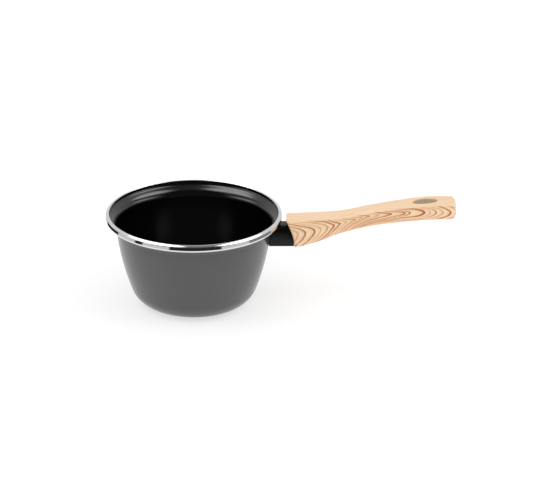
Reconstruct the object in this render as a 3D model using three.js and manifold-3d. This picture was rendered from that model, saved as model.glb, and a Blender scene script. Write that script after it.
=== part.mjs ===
// An enamelled steel saucepan with a screwed-on wood-effect handle.
// Millimetres, +Z up. The origin is the centre of the base on the hob, and the handle points along +X.
import * as THREE from 'three';
import { mergeVertices } from 'three/addons/utils/BufferGeometryUtils.js';
import Module from 'manifold-3d';

const DEGREE = Math.PI / 180;

// Room between pieces that seat on each other
const CLEARANCE = 0.3;

// Pan shell: one sheet, drawn by its middle line
const SHEET = 1.3;
const RIM_RADIUS = 84.4;
const PAN_HEIGHT = 91.9;
const WALL_BOW = 254;
const WALL_LEAN = 5.88 * DEGREE;
const CORNER_RADIUS = 25.6;
const SHOULDER_RADIUS = 9;
const LEDGE_ANGLE = 28 * DEGREE;
const LEDGE_LENGTH = 2;
const COVE_RADIUS = 4;
const EDGE_HEIGHT = 0.8;

// Rim band, a round bead of thin sheet pressed over the upturned edge of the pan
const BAND_SHEET = 0.4;
const BAND_SLACK = 0.5;
const BAND_HEIGHT = 7.6;
const BAND_LAP = 0.6;
const HEM_RADIUS = 0.5;
const CREST_TURN = 47 * DEGREE;
const FACE_TO_CREST = 2;
const BELLY_TURN = 45 * DEGREE;
const CURL_RADIUS = 0.8;
const CURL_TURN = 55 * DEGREE;

// Bracket, with a channel-shaped tang that holds the nut
const BRACKET_SHEET = 2;
const NUT_ACROSS = 8;
const NUT_HEIGHT = 4;
const NUT_SIDE_GAP = 0.5;
const NUT_COVER = 0.2;
const TANG_PAST_SCREW = 10;

// Flame guard, the neck between the wall and the handle
const NECK_GAP = 3.9;
const GUARD_HEIGHT = 20.9;
const GUARD_EDGE = 2.5;
const GUARD_SHOULDER = 1.2;
const GUARD_WALL = 2.4;
const GUARD_CEILING = 2.7;
const GUARD_FLOOR = 3.8;
const BEVEL_HEIGHT = 6.8;
const BEVEL_DEPTH = 2.2;
const SPIGOT_WALL = 1.7;
const SPIGOT_LENGTH = 4;

// Handle, whose stations give the height of its top above the guard's top, its depth and its width
const HANDLE_GAP = 3.4;
const HANDLE_LENGTH = 163.4;
const FACE_HOLLOW = 52;
const FRONT_EDGE = 1.8;
const TAIL_EDGE = 5.5;
const SQUARENESS = 5.5;
const FRONT = { at: 0, top: 6.8, depth: 28.8, width: 27 };
const HEEL = { at: 30, top: 8.2, depth: 22.9, width: 26 };
const THROAT = { at: 55, top: 10.3, depth: 16.4, width: 24.5 };
const WAIST = { at: 82, top: 16, depth: 15.2, width: 24 };
const PALM = { fromTail: 28, top: 23.6, depth: 15.7, width: 29 };
const TAIL = { fromTail: 0, top: 24.1, depth: 15.5, width: 28 };
const HOLE_LENGTH = 22.8;
const HOLE_WIDTH = 12;
const HOLE_FROM_TAIL = 29.5;

// Screw and washers, under the handle
const SCREW_AT = 17.8;
const SCREW_DIAMETER = 5;
const SCREW_LENGTH = 12;
const HEAD_DIAMETER = 9;
const HEAD_HEIGHT = 3;
const HEAD_DOME = 1.2;
const DRIVE_LENGTH = 4.6;
const DRIVE_WIDTH = 1.1;
const DRIVE_DEPTH = 1.6;
const TIP_CHAMFER = 0.6;
const SEAT_THICKNESS = 2.6;
const WASHER_DIAMETER = 10;
const WASHER_THICKNESS = 1;
const SPRING_WIDTH = 1.4;
const SPRING_THICKNESS = 1.2;
const SPRING_SPLIT = 16 * DEGREE;

// How finely curves are faceted
const ROUND_STEPS = 48;
const ARC_STEPS = 6;
const SMALL_STEPS = 20;
const SECTION_STEPS = 32;
const GRIP_STEPS = 22;
const EDGE_STEPS = 3;
const FACE_STEPS = 4;
const DRUM_STEPS = 96;

const wasm = await Module();
wasm.setup();

// Geometry to solid and back, for joining and cutting
function solid(geometry) {
  const bare = geometry.clone();
  bare.deleteAttribute('normal');
  bare.deleteAttribute('uv');
  const merged = mergeVertices(bare);
  const triangles = [];
  const index = merged.index.array;
  for (let i = 0; i < index.length; i += 3) {
    const [a, b, c] = index.slice(i, i + 3);
    if (a !== b && b !== c && c !== a) triangles.push(a, b, c);
  }
  return new wasm.Manifold(new wasm.Mesh({
    numProp: 3,
    vertProperties: new Float32Array(merged.attributes.position.array),
    triVerts: new Uint32Array(triangles),
  }));
}

function geometryOf(manifold) {
  const mesh = manifold.getMesh();
  const geometry = new THREE.BufferGeometry();
  geometry.setAttribute('position', new THREE.BufferAttribute(mesh.vertProperties, mesh.numProp));
  geometry.setIndex(new THREE.BufferAttribute(mesh.triVerts, 1));
  geometry.computeVertexNormals();
  return geometry;
}

// A sheet's middle line in the plane of radius and height, drawn as lines and arcs that run on smoothly
class Meridian {
  constructor(r, z, heading) {
    this.points = [{ r, z, heading }];
  }

  get end() {
    return this.points.at(-1);
  }

  line(length) {
    const { r, z, heading } = this.end;
    this.points.push({ r: r + length * Math.cos(heading), z: z + length * Math.sin(heading), heading });
    return this;
  }

  // A positive turn goes left, towards the inside of the pan
  arc(radius, turn) {
    const { r, z, heading } = this.end;
    const swing = Math.sign(turn) * radius;
    for (let i = 1; i <= ARC_STEPS; i += 1) {
      const h = heading + (turn * i) / ARC_STEPS;
      this.points.push({
        r: r + swing * (Math.sin(h) - Math.sin(heading)),
        z: z - swing * (Math.cos(h) - Math.cos(heading)),
        heading: h,
      });
    }
    return this;
  }

  // The line moved sideways, left when the distance is positive
  side(distance) {
    return this.points.map(({ r, z, heading }) => new THREE.Vector2(
      Math.max(0, r - distance * Math.sin(heading)),
      z + distance * Math.cos(heading),
    ));
  }

  outline(thickness) {
    return [...this.side(-thickness / 2), ...this.side(thickness / 2).reverse()];
  }
}

// A profile of radius and height, turned about the pan's axis
function turned(profile, steps = ROUND_STEPS) {
  return new THREE.LatheGeometry(profile, steps).rotateX(Math.PI / 2);
}

function turnedRing(profile) {
  return turned([...profile, profile[0]]);
}

// A shape drawn across the handle (Y, Z), run along X from one place to another
function alongHandle(shape, from, to) {
  const geometry = new THREE.ExtrudeGeometry(shape, { depth: to - from, bevelEnabled: false });
  const across = new THREE.Matrix4().makeBasis(
    new THREE.Vector3(0, 1, 0),
    new THREE.Vector3(0, 0, 1),
    new THREE.Vector3(1, 0, 0),
  );
  return geometry.applyMatrix4(across).translate(from, 0, 0);
}

// A shape drawn from above (X, Y), run up from one height to another
function upright(shape, from, to) {
  const options = { depth: to - from, bevelEnabled: false, curveSegments: SMALL_STEPS };
  return new THREE.ExtrudeGeometry(shape, options).translate(0, 0, from);
}

function post(radius, from, to) {
  return new THREE.CylinderGeometry(radius, radius, to - from, SMALL_STEPS)
    .rotateX(Math.PI / 2).translate(0, 0, (from + to) / 2);
}

// A block centred on the handle's plane
function block(fromX, toX, width, fromZ, toZ) {
  return new THREE.BoxGeometry(toX - fromX, width, toZ - fromZ)
    .translate((fromX + toX) / 2, 0, (fromZ + toZ) / 2);
}

// Radii and heights of the pan, from the rim inwards and down to the base
const bandWidth = SHEET + 2 * (BAND_SHEET + CLEARANCE) + BAND_SLACK;
const bendHeight = PAN_HEIGHT - bandWidth / 2;
const crestRadius = (bandWidth - BAND_SHEET - HEM_RADIUS)
  / (Math.sin(CREST_TURN) + FACE_TO_CREST * (1 - Math.sin(CREST_TURN)));
const faceRadius = FACE_TO_CREST * crestRadius;
const bellyHeight = BAND_HEIGHT - BAND_SHEET - crestRadius * (1 - Math.cos(CREST_TURN))
  - faceRadius * Math.cos(CREST_TURN) - CURL_RADIUS * (1 - Math.sin(BELLY_TURN));
const bellyRadius = bellyHeight / Math.sin(BELLY_TURN);
const edgeRadius = RIM_RADIUS - bandWidth + BAND_SHEET + CLEARANCE + SHEET / 2;
const lipReach = SHOULDER_RADIUS * (Math.cos(WALL_LEAN) - Math.sin(LEDGE_ANGLE))
  + LEDGE_LENGTH * Math.cos(LEDGE_ANGLE) + COVE_RADIUS * (1 - Math.sin(LEDGE_ANGLE));
const lipRise = SHOULDER_RADIUS * (Math.cos(LEDGE_ANGLE) - Math.sin(WALL_LEAN))
  + LEDGE_LENGTH * Math.sin(LEDGE_ANGLE) + COVE_RADIUS * Math.cos(LEDGE_ANGLE) + EDGE_HEIGHT;
const wallMiddle = edgeRadius - lipReach;
const wallTop = bendHeight - lipRise;
const wallRadius = wallMiddle + (SHEET / 2) * Math.cos(WALL_LEAN);
const bowCentreR = wallMiddle - (WALL_BOW - SHEET / 2) * Math.cos(WALL_LEAN);
const bowCentreZ = wallTop + (WALL_BOW - SHEET / 2) * Math.sin(WALL_LEAN);
const cornerSlope = Math.asin((bowCentreZ - CORNER_RADIUS) / (WALL_BOW - CORNER_RADIUS));
const baseRadius = bowCentreR + (WALL_BOW - CORNER_RADIUS) * Math.cos(cornerSlope);

// Places along the handle and heights of the neck
const frontX = RIM_RADIUS + HANDLE_GAP;
const tailX = frontX + HANDLE_LENGTH;
const guardTop = PAN_HEIGHT - BAND_HEIGHT - NECK_GAP;
const guardBottom = guardTop - GUARD_HEIGHT;
const frontTop = guardTop + FRONT.top;
const screwX = frontX + SCREW_AT;
const tangTop = guardTop - GUARD_CEILING - CLEARANCE;
const tangHeight = BRACKET_SHEET + CLEARANCE + NUT_HEIGHT + NUT_COVER;
const tangBottom = tangTop - tangHeight;
const tangWidth = NUT_ACROSS + 2 * (NUT_SIDE_GAP + BRACKET_SHEET);
const tangEnd = screwX + TANG_PAST_SCREW;
const spigotWidth = tangWidth + 2 * (CLEARANCE + SPIGOT_WALL);
const spigotTop = tangTop + CLEARANCE + SPIGOT_WALL;
const spigotBottom = tangBottom - CLEARANCE - SPIGOT_WALL;
const guardWidth = spigotWidth + 2 * GUARD_SHOULDER;
const footWidth = guardWidth - 2 * (GUARD_WALL + CLEARANCE);
const footBottom = guardBottom + GUARD_FLOOR + CLEARANCE;
const footX = wallRadius + CLEARANCE + BRACKET_SHEET;

// Heights of the screw, its washers and the nut, from the floor of the handle's socket down
const screwBore = SCREW_DIAMETER / 2 + CLEARANCE;
const socketFloor = tangBottom - CLEARANCE;
const seat = socketFloor - SEAT_THICKNESS;
const washerTop = seat - CLEARANCE;
const springTop = washerTop - WASHER_THICKNESS - CLEARANCE;
const headTop = springTop - SPRING_THICKNESS - CLEARANCE;
const screwTip = headTop + SCREW_LENGTH;
const nutTop = tangTop - BRACKET_SHEET - CLEARANCE;

// The handle's hollow front face, upright at the bottom and leaning over the neck on an arc above
const faceFoot = frontTop - FRONT.depth;
const faceCentreX = frontX - Math.sqrt(FACE_HOLLOW ** 2 - FRONT.depth ** 2);

function faceX(z) {
  return faceCentreX + Math.sqrt(FACE_HOLLOW ** 2 - (z - faceFoot) ** 2);
}

// The middle of the sheet, from the centre of the base to the end of the ledge inside the rim
function panSheet() {
  return new Meridian(0, SHEET / 2, 0)
    .line(baseRadius)
    .arc(CORNER_RADIUS - SHEET / 2, Math.PI / 2 - cornerSlope)
    .arc(WALL_BOW - SHEET / 2, cornerSlope - WALL_LEAN)
    .arc(SHOULDER_RADIUS, LEDGE_ANGLE + WALL_LEAN - Math.PI / 2)
    .line(LEDGE_LENGTH);
}

function panShell() {
  const sheet = panSheet().arc(COVE_RADIUS, Math.PI / 2 - LEDGE_ANGLE).line(EDGE_HEIGHT);
  return turned(sheet.outline(SHEET));
}

// All within the pan's outer face, grown by a distance, for what lies against the wall
function panCore(distance) {
  const face = panSheet().side(-SHEET / 2 - distance);
  return turned([...face, new THREE.Vector2(0, face.at(-1).y)]);
}

// The band runs up inside the pan's edge, over it, down outside in a round and in under itself
function rimBand() {
  const lapBottom = bendHeight - BAND_LAP;
  const strip = new Meridian(RIM_RADIUS - bandWidth + BAND_SHEET / 2, lapBottom, Math.PI / 2)
    .line(PAN_HEIGHT - BAND_SHEET / 2 - HEM_RADIUS - lapBottom)
    .arc(HEM_RADIUS, -Math.PI / 2)
    .arc(crestRadius, -CREST_TURN)
    .arc(faceRadius, CREST_TURN - Math.PI / 2)
    .arc(bellyRadius, -BELLY_TURN)
    .arc(CURL_RADIUS, -CURL_TURN);
  return turnedRing(strip.outline(BAND_SHEET));
}

function handleBracket() {
  const foot = solid(panCore(CLEARANCE + BRACKET_SHEET))
    .subtract(solid(panCore(CLEARANCE)))
    .intersect(solid(block(0, 2 * wallRadius, footWidth, footBottom, tangTop)));
  const tang = solid(block(wallRadius + CLEARANCE, tangEnd, tangWidth, tangBottom, tangTop));
  const channelWidth = tangWidth - 2 * BRACKET_SHEET;
  const channelTop = tangTop - BRACKET_SHEET;
  const channel = solid(block(footX, tailX, channelWidth, guardBottom, channelTop));
  const hole = solid(post(screwBore, tangBottom, tangTop + BRACKET_SHEET).translate(screwX, 0, 0));
  return geometryOf(foot.add(tang.subtract(channel).subtract(hole)));
}

// Flat top with round edges, upright sides, and lower sides that lean in
function guardSection() {
  const half = guardWidth / 2;
  const shape = new THREE.Shape();
  shape.moveTo(-half + BEVEL_DEPTH, guardBottom);
  shape.lineTo(half - BEVEL_DEPTH, guardBottom);
  shape.lineTo(half, guardBottom + BEVEL_HEIGHT);
  shape.lineTo(half, guardTop - GUARD_EDGE);
  shape.absarc(half - GUARD_EDGE, guardTop - GUARD_EDGE, GUARD_EDGE, 0, Math.PI / 2);
  shape.lineTo(-half + GUARD_EDGE, guardTop);
  shape.absarc(-half + GUARD_EDGE, guardTop - GUARD_EDGE, GUARD_EDGE, Math.PI / 2, Math.PI);
  shape.lineTo(-half, guardBottom + BEVEL_HEIGHT);
  shape.closePath();
  return shape;
}

// All on the pan's side of the handle's front face, as a drum lying across the handle
function beforeFace() {
  const radius = FACE_HOLLOW - CLEARANCE;
  return new THREE.CylinderGeometry(radius, radius, 2 * guardWidth, DRUM_STEPS)
    .translate(faceCentreX, 0, faceFoot);
}

function spigotEnd() {
  return faceX((spigotTop + spigotBottom) / 2) + SPIGOT_LENGTH;
}

function flameGuard() {
  const roof = tangTop + CLEARANCE;
  const sleeve = solid(alongHandle(guardSection(), faceCentreX, tailX)).intersect(solid(beforeFace()));
  const spigot = block(wallRadius, spigotEnd(), spigotWidth, spigotBottom, spigotTop);
  const channel = block(0, tailX, tangWidth + 2 * CLEARANCE, tangBottom - CLEARANCE, roof);
  const pocket = block(0, footX + CLEARANCE, footWidth + 2 * CLEARANCE, footBottom - CLEARANCE, roof);
  const cuts = [channel, pocket, panCore(CLEARANCE)];
  return geometryOf(cuts.reduce((guard, cut) => guard.subtract(solid(cut)), sleeve.add(solid(spigot))));
}

// The handle's top, depth and width at a distance from its front, on a smooth line through its stations
function gripStations() {
  const stations = [FRONT, HEEL, THROAT, WAIST, PALM, TAIL];
  const places = stations.map(({ at, fromTail }) => at ?? HANDLE_LENGTH - fromTail);
  const sizes = stations.flatMap(({ top, depth, width }) => [top, depth, width]);
  const line = new THREE.CubicInterpolant(places, sizes, 3);
  return (at) => {
    const [top, depth, width] = line.evaluate(at);
    return { at, top: guardTop + top, depth, width };
  };
}

// Rings out over the front face and along to the tail, with both end edges rounded over
function gripRings() {
  const station = gripStations();
  const rings = [];
  const half = FRONT.width / 2;
  for (let i = 1; i < FACE_STEPS; i += 1) {
    rings.push({ ...station(0), inset: half - (i / FACE_STEPS) * (half - FRONT_EDGE) });
  }
  for (let i = 0; i < EDGE_STEPS; i += 1) {
    const turn = (i / EDGE_STEPS) * (Math.PI / 2);
    const at = FRONT_EDGE * (1 - Math.cos(turn));
    rings.push({ ...station(at), inset: FRONT_EDGE * (1 - Math.sin(turn)) });
  }
  const straight = HANDLE_LENGTH - FRONT_EDGE - TAIL_EDGE;
  for (let i = 0; i <= GRIP_STEPS; i += 1) {
    rings.push({ ...station(FRONT_EDGE + (i / GRIP_STEPS) * straight), inset: 0 });
  }
  for (let i = EDGE_STEPS - 1; i >= 0; i -= 1) {
    const turn = (i / EDGE_STEPS) * (Math.PI / 2);
    const at = HANDLE_LENGTH - TAIL_EDGE * (1 - Math.cos(turn));
    rings.push({ ...station(at), inset: TAIL_EDGE * (1 - Math.sin(turn)) });
  }
  return rings;
}

// A closed cylinder, drawn out over the rings as squared ovals that follow the front face near it
function gripBody() {
  const rings = gripRings();
  const geometry = new THREE.CylinderGeometry(1, 1, 1, SECTION_STEPS, rings.length - 1);
  const spots = geometry.attributes.position;
  const squared = (value) => Math.sign(value) * Math.abs(value) ** (2 / SQUARENESS);
  for (let i = 0; i < spots.count; i += 1) {
    const ring = rings[Math.round((0.5 - spots.getY(i)) * (rings.length - 1))];
    const y = squared(spots.getX(i)) * (ring.width / 2 - ring.inset);
    const z = ring.top - ring.depth / 2 + squared(spots.getZ(i)) * (ring.depth / 2 - ring.inset);
    const lean = 1 - THREE.MathUtils.smoothstep(ring.at, 0, THROAT.at);
    const x = frontX + ring.at + lean * (faceX(z) - frontX);
    spots.setXYZ(i, x, y, z);
  }
  return geometry;
}

function hangingHole() {
  const straight = (HOLE_LENGTH - HOLE_WIDTH) / 2;
  const shape = new THREE.Shape();
  shape.absarc(straight, 0, HOLE_WIDTH / 2, -Math.PI / 2, Math.PI / 2);
  shape.absarc(-straight, 0, HOLE_WIDTH / 2, Math.PI / 2, 1.5 * Math.PI);
  return upright(shape, guardBottom, guardTop + HANDLE_LENGTH).translate(tailX - HOLE_FROM_TAIL, 0, 0);
}

function handleGrip() {
  const socketEnd = spigotEnd() + CLEARANCE;
  const socketWidth = spigotWidth + 2 * CLEARANCE;
  const spigotSocket = block(0, socketEnd, socketWidth, spigotBottom - CLEARANCE, spigotTop + CLEARANCE);
  const slotWidth = tangWidth + 2 * CLEARANCE;
  const tangSocket = block(0, tangEnd + CLEARANCE, slotWidth, socketFloor, tangTop + CLEARANCE);
  const recess = post(WASHER_DIAMETER / 2 + CLEARANCE, 0, seat).translate(screwX, 0, 0);
  const bore = post(screwBore, 0, screwTip + CLEARANCE).translate(screwX, 0, 0);
  const cuts = [spigotSocket, tangSocket, recess, bore, hangingHole()];
  const cut = cuts.reduce((grip, geometry) => grip.subtract(solid(geometry)), solid(gripBody()));
  return geometryOf(cut);
}

function tangNut() {
  const cornerRadius = NUT_ACROSS / Math.sqrt(3);
  const blank = new THREE.CylinderGeometry(cornerRadius, cornerRadius, NUT_HEIGHT, 6, 1, false, Math.PI / 6)
    .rotateX(Math.PI / 2).translate(screwX, 0, nutTop - NUT_HEIGHT / 2);
  const bore = post(screwBore, tangBottom - NUT_HEIGHT, tangTop).translate(screwX, 0, 0);
  return geometryOf(solid(blank).subtract(solid(bore)));
}

// A domed head with a cross drive, and a plain shank whose tip is chamfered
function handleScrew() {
  const head = HEAD_DIAMETER / 2;
  const shank = SCREW_DIAMETER / 2;
  const underside = headTop - HEAD_HEIGHT;
  const roundOff = HEAD_DOME * (1 - Math.SQRT1_2);
  const profile = [
    new THREE.Vector2(0, underside),
    new THREE.Vector2(head - HEAD_DOME, underside),
    new THREE.Vector2(head - roundOff, underside + roundOff),
    new THREE.Vector2(head, underside + HEAD_DOME),
    new THREE.Vector2(head, headTop),
    new THREE.Vector2(shank, headTop),
    new THREE.Vector2(shank, screwTip - TIP_CHAMFER),
    new THREE.Vector2(shank - TIP_CHAMFER, screwTip),
    new THREE.Vector2(0, screwTip),
  ];
  const halfSlot = DRIVE_LENGTH / 2;
  const slot = block(-halfSlot, halfSlot, DRIVE_WIDTH, underside - DRIVE_DEPTH, underside + DRIVE_DEPTH);
  const cross = solid(slot).add(solid(slot.clone().rotateZ(Math.PI / 2)));
  return geometryOf(solid(turned(profile, SMALL_STEPS)).subtract(cross)).translate(screwX, 0, 0);
}

function flatWasher() {
  const ring = new THREE.Shape().absarc(0, 0, WASHER_DIAMETER / 2, 0, 2 * Math.PI);
  ring.holes.push(new THREE.Path().absarc(0, 0, screwBore, 0, 2 * Math.PI, true));
  return upright(ring, washerTop - WASHER_THICKNESS, washerTop).translate(screwX, 0, 0);
}

function springWasher() {
  const from = SPRING_SPLIT / 2;
  const to = 2 * Math.PI - from;
  const ring = new THREE.Shape();
  ring.absarc(0, 0, screwBore + SPRING_WIDTH, from, to);
  ring.absarc(0, 0, screwBore, to, from, true);
  return upright(ring, springTop - SPRING_THICKNESS, springTop).translate(screwX, 0, 0);
}

const enamel = { color: 0x5c5c5e, roughness: 0.3, metalness: 0 };
const polishedSteel = { color: 0xd9dadc, roughness: 0.12, metalness: 1 };
const platedSteel = { color: 0xb5b6b2, roughness: 0.35, metalness: 1 };
const blackPlastic = { color: 0x141415, roughness: 0.4, metalness: 0 };
const woodEffect = { color: 0xe8c69c, roughness: 0.42, metalness: 0 };

const saucepan = new THREE.Group();

function addPiece(name, geometry, finish) {
  const mesh = new THREE.Mesh(geometry, new THREE.MeshStandardMaterial(finish));
  mesh.name = name;
  saucepan.add(mesh);
}

addPiece('pan_shell', panShell(), enamel);
addPiece('rim_band', rimBand(), polishedSteel);
addPiece('handle_bracket', handleBracket(), enamel);
addPiece('flame_guard', flameGuard(), blackPlastic);
addPiece('handle_grip', handleGrip(), woodEffect);
addPiece('tang_nut', tangNut(), platedSteel);
addPiece('handle_screw', handleScrew(), platedSteel);
addPiece('flat_washer', flatWasher(), platedSteel);
addPiece('spring_washer', springWasher(), platedSteel);

export default saucepan;
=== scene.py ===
"""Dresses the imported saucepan: turned pan and rim, moulded neck and handle, screw, and all their finishes.

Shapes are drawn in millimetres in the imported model's frame and turned into metres when a mesh is made.
"""
import math

import bpy
from mathutils import Matrix, Vector


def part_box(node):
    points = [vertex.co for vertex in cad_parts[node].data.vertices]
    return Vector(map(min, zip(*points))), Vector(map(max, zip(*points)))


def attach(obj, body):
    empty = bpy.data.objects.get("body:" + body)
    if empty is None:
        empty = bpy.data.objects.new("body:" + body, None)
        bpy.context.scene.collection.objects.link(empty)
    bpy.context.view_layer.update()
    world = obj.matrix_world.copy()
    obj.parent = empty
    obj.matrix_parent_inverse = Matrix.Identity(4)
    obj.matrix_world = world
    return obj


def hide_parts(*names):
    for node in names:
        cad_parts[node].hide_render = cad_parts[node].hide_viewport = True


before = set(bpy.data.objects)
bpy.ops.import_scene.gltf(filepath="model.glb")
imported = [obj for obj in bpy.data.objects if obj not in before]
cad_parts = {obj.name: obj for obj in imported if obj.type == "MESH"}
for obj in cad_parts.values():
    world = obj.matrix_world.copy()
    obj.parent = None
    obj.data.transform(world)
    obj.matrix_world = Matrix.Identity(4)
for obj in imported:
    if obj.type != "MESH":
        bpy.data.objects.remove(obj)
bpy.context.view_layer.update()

MM = 0.001
QUARTER_TURN = math.pi / 2

# Room between pieces that seat on each other
CLEARANCE = 0.3

# Pan sheet, drawn by its middle line
SHEET = 1.3
RIM_RADIUS = 84.4
PAN_HEIGHT = 91.9
WALL_BOW = 254
WALL_LEAN = math.radians(5.88)
CORNER_RADIUS = 25.6
SHOULDER_RADIUS = 9
LEDGE_ANGLE = math.radians(28)
LEDGE_LENGTH = 2
COVE_RADIUS = 4
EDGE_HEIGHT = 0.8
# Width of the outermost ring of the flat base, which keeps the rest of the base flat in shading
BASE_HOLD = 1

# Rim band, a bead of thin sheet: a hem, a crest, a broad brow, an upright face, a belly and a curl
BAND_SHEET = 0.4
BAND_SLACK = 0.5
BAND_HEIGHT = 6.9
BAND_LAP = 0.6
HEM_RADIUS = 0.5
CREST_RADIUS = 1.2
CREST_TURN = math.radians(28)
BROW_TURN = math.radians(16)
BROW_EDGE = 0.9
BELLY_RADIUS = 2.5
BELLY_TURN = math.radians(45)
CURL_RADIUS = 0.8
CURL_TURN = math.radians(55)

# Neck
GUARD_TOP = 80.4
GUARD_HEIGHT = 20.9
GUARD_WIDTH = 19.4
GUARD_EDGE = 5
BEVEL_HEIGHT = 6.8
BEVEL_DEPTH = 2.2
BEVEL_EDGE = 0.5
END_EDGE = 0.4
# Insets of the loops that close its ends, and the shares of its length where loops lie between them
GUARD_CAPS = (8.5, 6, 3.5, 1.5)
GUARD_SHARES = (0.25, 0.5, 0.75)

# Handle, whose stations give its distance from the front, top above the neck, depth and width
FRONT_X = 87.8
HANDLE_LENGTH = 163.4
FACE_HOLLOW = 52
FRONT_EDGE = 1.8
TAIL_EDGE = 5.5
SQUARENESS = 5.5
STATIONS = (
    (0, 6.8, 28.8, 27),
    (30, 8.2, 22.9, 26),
    (55, 10.3, 16.4, 24.5),
    (82, 16, 15.2, 24),
    (135.4, 23.6, 15.7, 29),
    (HANDLE_LENGTH, 24.1, 15.5, 28),
)
# Distance from the front over which the loops lose the lean of the front face
LEAN_END = 55
# Loops that close its ends: shares of the way out across the front, and insets at the tail
FRONT_CAPS = (0.12, 0.3, 0.5, 0.7, 0.87)
TAIL_CAPS = (6.3, 7.1)
# Hanging hole, with a flare above each rounded edge that carries the cut clear of the handle's face
HOLE_LENGTH = 22.8
HOLE_WIDTH = 12
HOLE_FROM_TAIL = 29.5
HOLE_EDGE = 2
FLARE_ANGLE = math.radians(12)
FLARE_RISE = 0.4

# Tang of the bracket, the room that the bracket's foot needs outside the wall, and the screw
TANG_TOP = 77.4
TANG_BOTTOM = 70.9
TANG_WIDTH = 13
TANG_END = 115.6
FOOT_ROOM = 2.6
SCREW_X = 105.6
SCREW_BORE = 2.8
SEAT_Z = 68
RECESS_RADIUS = 5.3
HEAD_TOP = 64.9
HEAD_RADIUS = 4.5
HEAD_HEIGHT = 3
HEAD_DOME = 1.2
SHANK_RADIUS = 2.5
SCREW_LENGTH = 12
TIP_CHAMFER = 0.6
DRIVE_LENGTH = 4.6
DRIVE_WIDTH = 1.1
DRIVE_DEPTH = 1.6

# Fineness of the meshes: steps all the way round, points from which the handle's section is picked, steps
# round edges and steps along the handle
PAN_STEPS = 192
BAND_STEPS = 288
SCREW_STEPS = 64
HOLE_STEPS = 72
GRIP_STEPS = 120
OVAL_SAMPLES = 4000
GUARD_CORNER_STEPS = 10
END_EDGE_STEPS = 4
EDGE_STEPS = 8
DOME_STEPS = 10
LENGTH_STEPS = 180
# Radius below which a point counts as lying on the axis
ON_AXIS = 1e-6
# Angles in degrees above which an edge stays sharp: on most pieces, on the band, and where holes are cut
CREASE = 40
BAND_CREASE = 50
CUT_CREASE = 35

# Grain on the handle's sides: distance from the front, height of the grain's middle line as a share of the
# depth, how far its arms sweep back above and below that line, and the power they follow
GRAIN = (
    (0, 0.50, 0.17, 0.060, 2.0),
    (20, 0.51, 0.19, 0.070, 2.0),
    (31, 0.55, 0.20, 0.100, 2.0),
    (42, 0.61, 0.36, 0.220, 1.8),
    (52, 0.68, 1.20, 0.700, 1.4),
    (64, 0.75, 2.00, 1.300, 1.5),
    (80, 0.78, 2.30, 1.700, 1.6),
    (104, 0.70, 2.40, 1.600, 1.6),
    (118, 0.66, 0.85, 0.600, 2.0),
    (130, 0.61, 0.40, 0.290, 2.1),
    (146, 0.56, 0.30, 0.240, 2.0),
    (163, 0.53, 0.22, 0.180, 2.0),
)
# Where the rings of the grain come to their points, and how strongly each is printed
RINGS = (
    (4, 0.3),
    (13.4, 0.35),
    (20.2, 0.75),
    (29.4, 0.75),
    (35.2, 0.35),
    (41.9, 0.5),
    (48.2, 1.0),
    (53.8, 1.0),
    (60.2, 0.35),
    (68.3, 0.65),
    (75, 0.6),
    (81.3, 1.0),
    (91, 0.45),
    (102.7, 1.0),
    (115.9, 0.7),
    (120.2, 1.0),
    (134.6, 1.0),
    (139.5, 0.4),
    (145.2, 0.65),
    (151.5, 0.45),
    (159, 0.9),
    (168, 0.6),
    (176, 0.8),
    (188, 0.6),
    (200, 0.8),
    (215, 0.6),
)
# Half the distance over which the grain's pitch is measured, and the rings in a millimetre where lines keep
# their drawn width
GRAIN_PROBE = 0.3
RING_PITCH = 0.2
# Lines along every ring, by where they start, peak and end before the ring's edge, and their strength
DARK_LINE = (0.0, 0.7, 2.6, 1.4)
GLOW_LINE = (0.0, 1.0, 3.6, 0.7)
ASH_LINE = (2.0, 3.4, 5.2, 0.85)
FINE_LINES = ((2.8, 3.2, 3.7, 0.45), (4.8, 5.2, 5.7, 0.35))

# Where most of a noise's values lie
NOISE_SPAN = (0.3, 0.7)

# View of the photograph: lens and distance that keep its near-parallel lines
IMAGE_WIDTH = 535
FOCAL_PIXELS = 5000
SENSOR_MM = 36
VIEW_ELEVATION = math.radians(22.87)
VIEW_DISTANCE = 4.830
VIEW_RIGHT = 0.07069
VIEW_UP = 0.05845

# Studio: its even light, and what reflections see of its front, sides and back and of the gap between its
# panels, with the bearings and the height where one runs into the next
SKY_LEVEL = 0.78
FRONT_LEVEL = 0.06
SIDE_LEVEL = 0.35
BACK_LEVEL = 0.75
GAP_LEVEL = 0.2
FRONT_TO_SIDE = (0.7, 1.15)
SIDE_TO_BACK = (1.75, 2.1)
WALL_TO_GAP = (0.86, 0.96)
# Low panels at both sides: level, bearing and height of the middle, and how far from it the soft edges start
# and end
LOW_PANEL_LEVEL = 3.0
LOW_PANEL_BEARING = 1.42
LOW_PANEL_HEIGHT = 0.37
LOW_PANEL_ACROSS = (0.1, 0.6)
LOW_PANEL_UP = (0.04, 0.14)
# Panels overhead to the left and the right: brightness, lean outwards at the back, and, as shares of their
# height, the place midway between them, how far out and back their middles lie, and their half sizes
PANEL_LEVEL = 4.3
PANEL_LEAN = math.radians(25)
PANEL_MIDWAY = 0.1
PANEL_OUT = 0.63
PANEL_BACK = 0.1
PANEL_HALF_WIDTH = 0.36
PANEL_HALF_LENGTH = 0.54
# Shares of the half sizes where a panel's soft edge starts and ends
PANEL_EDGE = (0.65, 1.2)
# Lamps: bearing from the front either way, height above the level, distance, size and power
LAMP_AIM = (0.05, 0, 0.06)
LAMP_BEARING = math.radians(66)
LAMP_ELEVATION = math.radians(50)
LAMP_DISTANCE = 1.6
LAMP_SIZE = 0.8
LAMP_POWER = 3.5
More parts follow.
